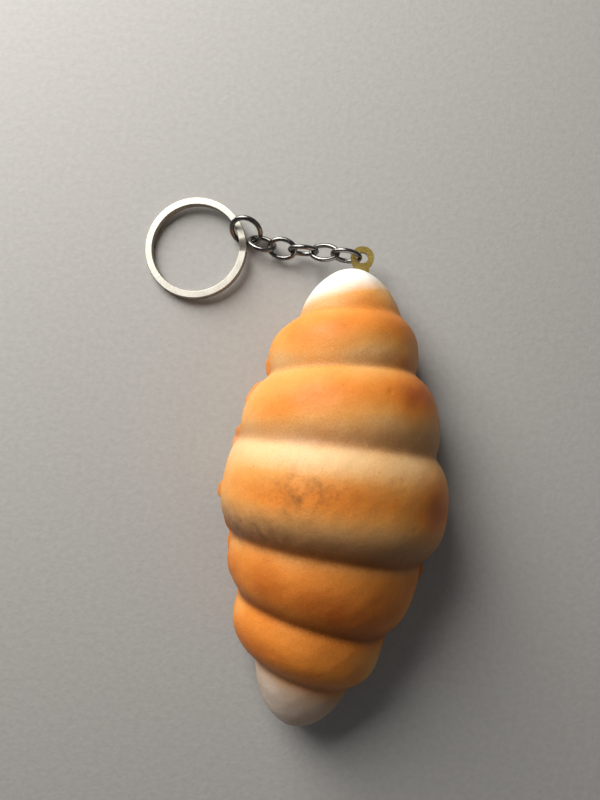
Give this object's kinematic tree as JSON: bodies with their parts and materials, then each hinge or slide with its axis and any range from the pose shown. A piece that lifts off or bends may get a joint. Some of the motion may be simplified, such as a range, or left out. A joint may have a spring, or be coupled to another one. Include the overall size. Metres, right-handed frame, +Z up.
{
  "type": "keychain",
  "caption": "Keychain with a soft foam spiral bread roll, orange with white tips, on a short oval-link chain with a jump ring and a flat split key ring.",
  "frame": {"origin": "centre of the foam roll's flat underside, on the surface it rests on", "axes": "+Y along the roll towards the chain end, +X across the roll, +Z up; the chain and split ring lie towards -X from the +Y tip"},
  "size_m": [0.0774, 0.1178, 0.0338],
  "materials": {
    "foam_skin": "satin",
    "tab_plastic": "gloss",
    "dark_nickel": "polished",
    "ring_nickel": "satin"
  },
  "bodies": {
    "bread_roll": {"foam_body": "foam_skin", "anchor_tab": "tab_plastic"},
    "link_1": {"chain_link_1": "dark_nickel"},
    "link_2": {"chain_link_2": "dark_nickel"},
    "link_3": {"chain_link_3": "dark_nickel"},
    "link_4": {"chain_link_4": "dark_nickel"},
    "link_5": {"chain_link_5": "dark_nickel"},
    "jump_ring": {"jump_ring": "dark_nickel"},
    "split_ring": {"split_ring": "ring_nickel"}
  },
  "joints": [
    {"name": "link_1_in_tab", "type": "hinge", "parent": "bread_roll", "child": "link_1", "pos_m": [-0.00145, 0.05454, 0.0065], "axis": [0.0698, 0.9976, 0], "range_deg": [-45, 45]},
    {"name": "link_2_in_link_1", "type": "hinge", "parent": "link_1", "child": "link_2", "pos_m": [-0.00642, 0.05489, 0.00616], "axis": [0.208, -0.4031, -0.8912], "range_deg": [-45, 45]},
    {"name": "link_3_in_link_2", "type": "hinge", "parent": "link_2", "child": "link_3", "pos_m": [-0.01147, 0.05551, 0.0047], "axis": [-0.138, 0.9812, -0.135], "range_deg": [-40, 40]},
    {"name": "link_4_in_link_3", "type": "hinge", "parent": "link_3", "child": "link_4", "pos_m": [-0.01666, 0.05551, 0.00369], "axis": [-0.163, -0.15, 0.9751], "range_deg": [-50, 12]},
    {"name": "link_5_in_link_4", "type": "hinge", "parent": "link_4", "child": "link_5", "pos_m": [-0.02185, 0.05606, 0.00287], "axis": [0, 0.7668, 0.6419], "range_deg": [-45, 45]},
    {"name": "jump_ring_in_link_5", "type": "hinge", "parent": "link_5", "child": "jump_ring", "pos_m": [-0.0268, 0.05766, 0.00195], "axis": [0.131, 0.8027, -0.5818], "range_deg": [-45, 35]},
    {"name": "split_ring_flap", "type": "hinge", "parent": "jump_ring", "child": "split_ring", "pos_m": [-0.02896, 0.0585, 0.00246], "axis": [-0.6253, 0.7693, -0.1311], "range_deg": [-4, 35]}
  ]
}
